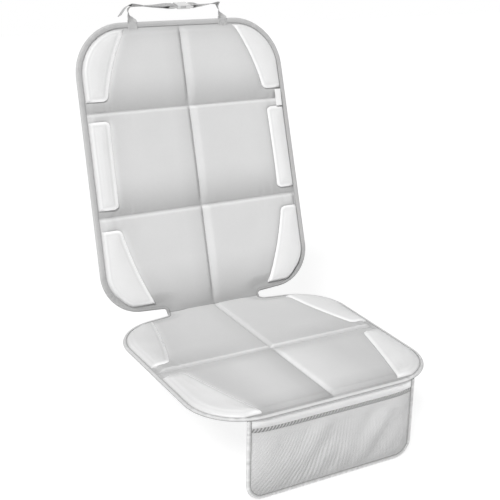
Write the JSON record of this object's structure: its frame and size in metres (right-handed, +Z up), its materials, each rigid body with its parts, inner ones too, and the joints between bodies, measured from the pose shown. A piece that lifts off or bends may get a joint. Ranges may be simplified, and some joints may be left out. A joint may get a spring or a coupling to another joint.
{
  "type": "car seat protector mat",
  "caption": "Quilted car seat protector mat: padded back and seat panels with leather-cloth side patches, bound edge, buckled headrest strap and hanging net pocket.",
  "frame": {"origin": "centre of the seat panel's flat underside, half way between the fold and the front edge", "axes": "+X to the right seen from the front, -Y towards the seat's front edge and the pocket, +Z up; the back panel rises at +Y and leans back by 16.4 degrees"},
  "size_m": [0.4982, 0.6771, 0.7737],
  "materials": {
    "quilted_cloth": "matte",
    "foam": "matte",
    "non_slip_backing": "matte",
    "patch_leather_cloth": "satin",
    "binding_tape": "matte",
    "woven_tag": "matte",
    "pocket_cloth": "matte",
    "pocket_mesh": "matte",
    "elastic_hem": "matte",
    "strap_webbing": "matte",
    "buckle_plastic": "gloss",
    "plug_plastic": "gloss"
  },
  "bodies": {
    "root": {"back_backing": "non_slip_backing", "back_cover": "quilted_cloth", "back_foam": "foam", "buckle_plug": "plug_plastic", "buckle_socket": "buckle_plastic", "edge_binding": "binding_tape", "patch_front_left": "patch_leather_cloth", "patch_front_right": "patch_leather_cloth", "patch_lower_left": "patch_leather_cloth", "patch_lower_right": "patch_leather_cloth", "patch_middle_left": "patch_leather_cloth", "patch_middle_right": "patch_leather_cloth", "patch_rear_left": "patch_leather_cloth", "patch_rear_right": "patch_leather_cloth", "patch_upper_left": "patch_leather_cloth", "patch_upper_right": "patch_leather_cloth", "pocket_back": "pocket_cloth", "pocket_binding": "binding_tape", "pocket_hem": "elastic_hem", "pocket_net": "pocket_mesh", "seat_backing": "non_slip_backing", "seat_cover": "quilted_cloth", "seat_foam": "foam", "side_tag": "woven_tag", "strap_left": "strap_webbing", "strap_right": "strap_webbing"}
  },
  "joints": []
}
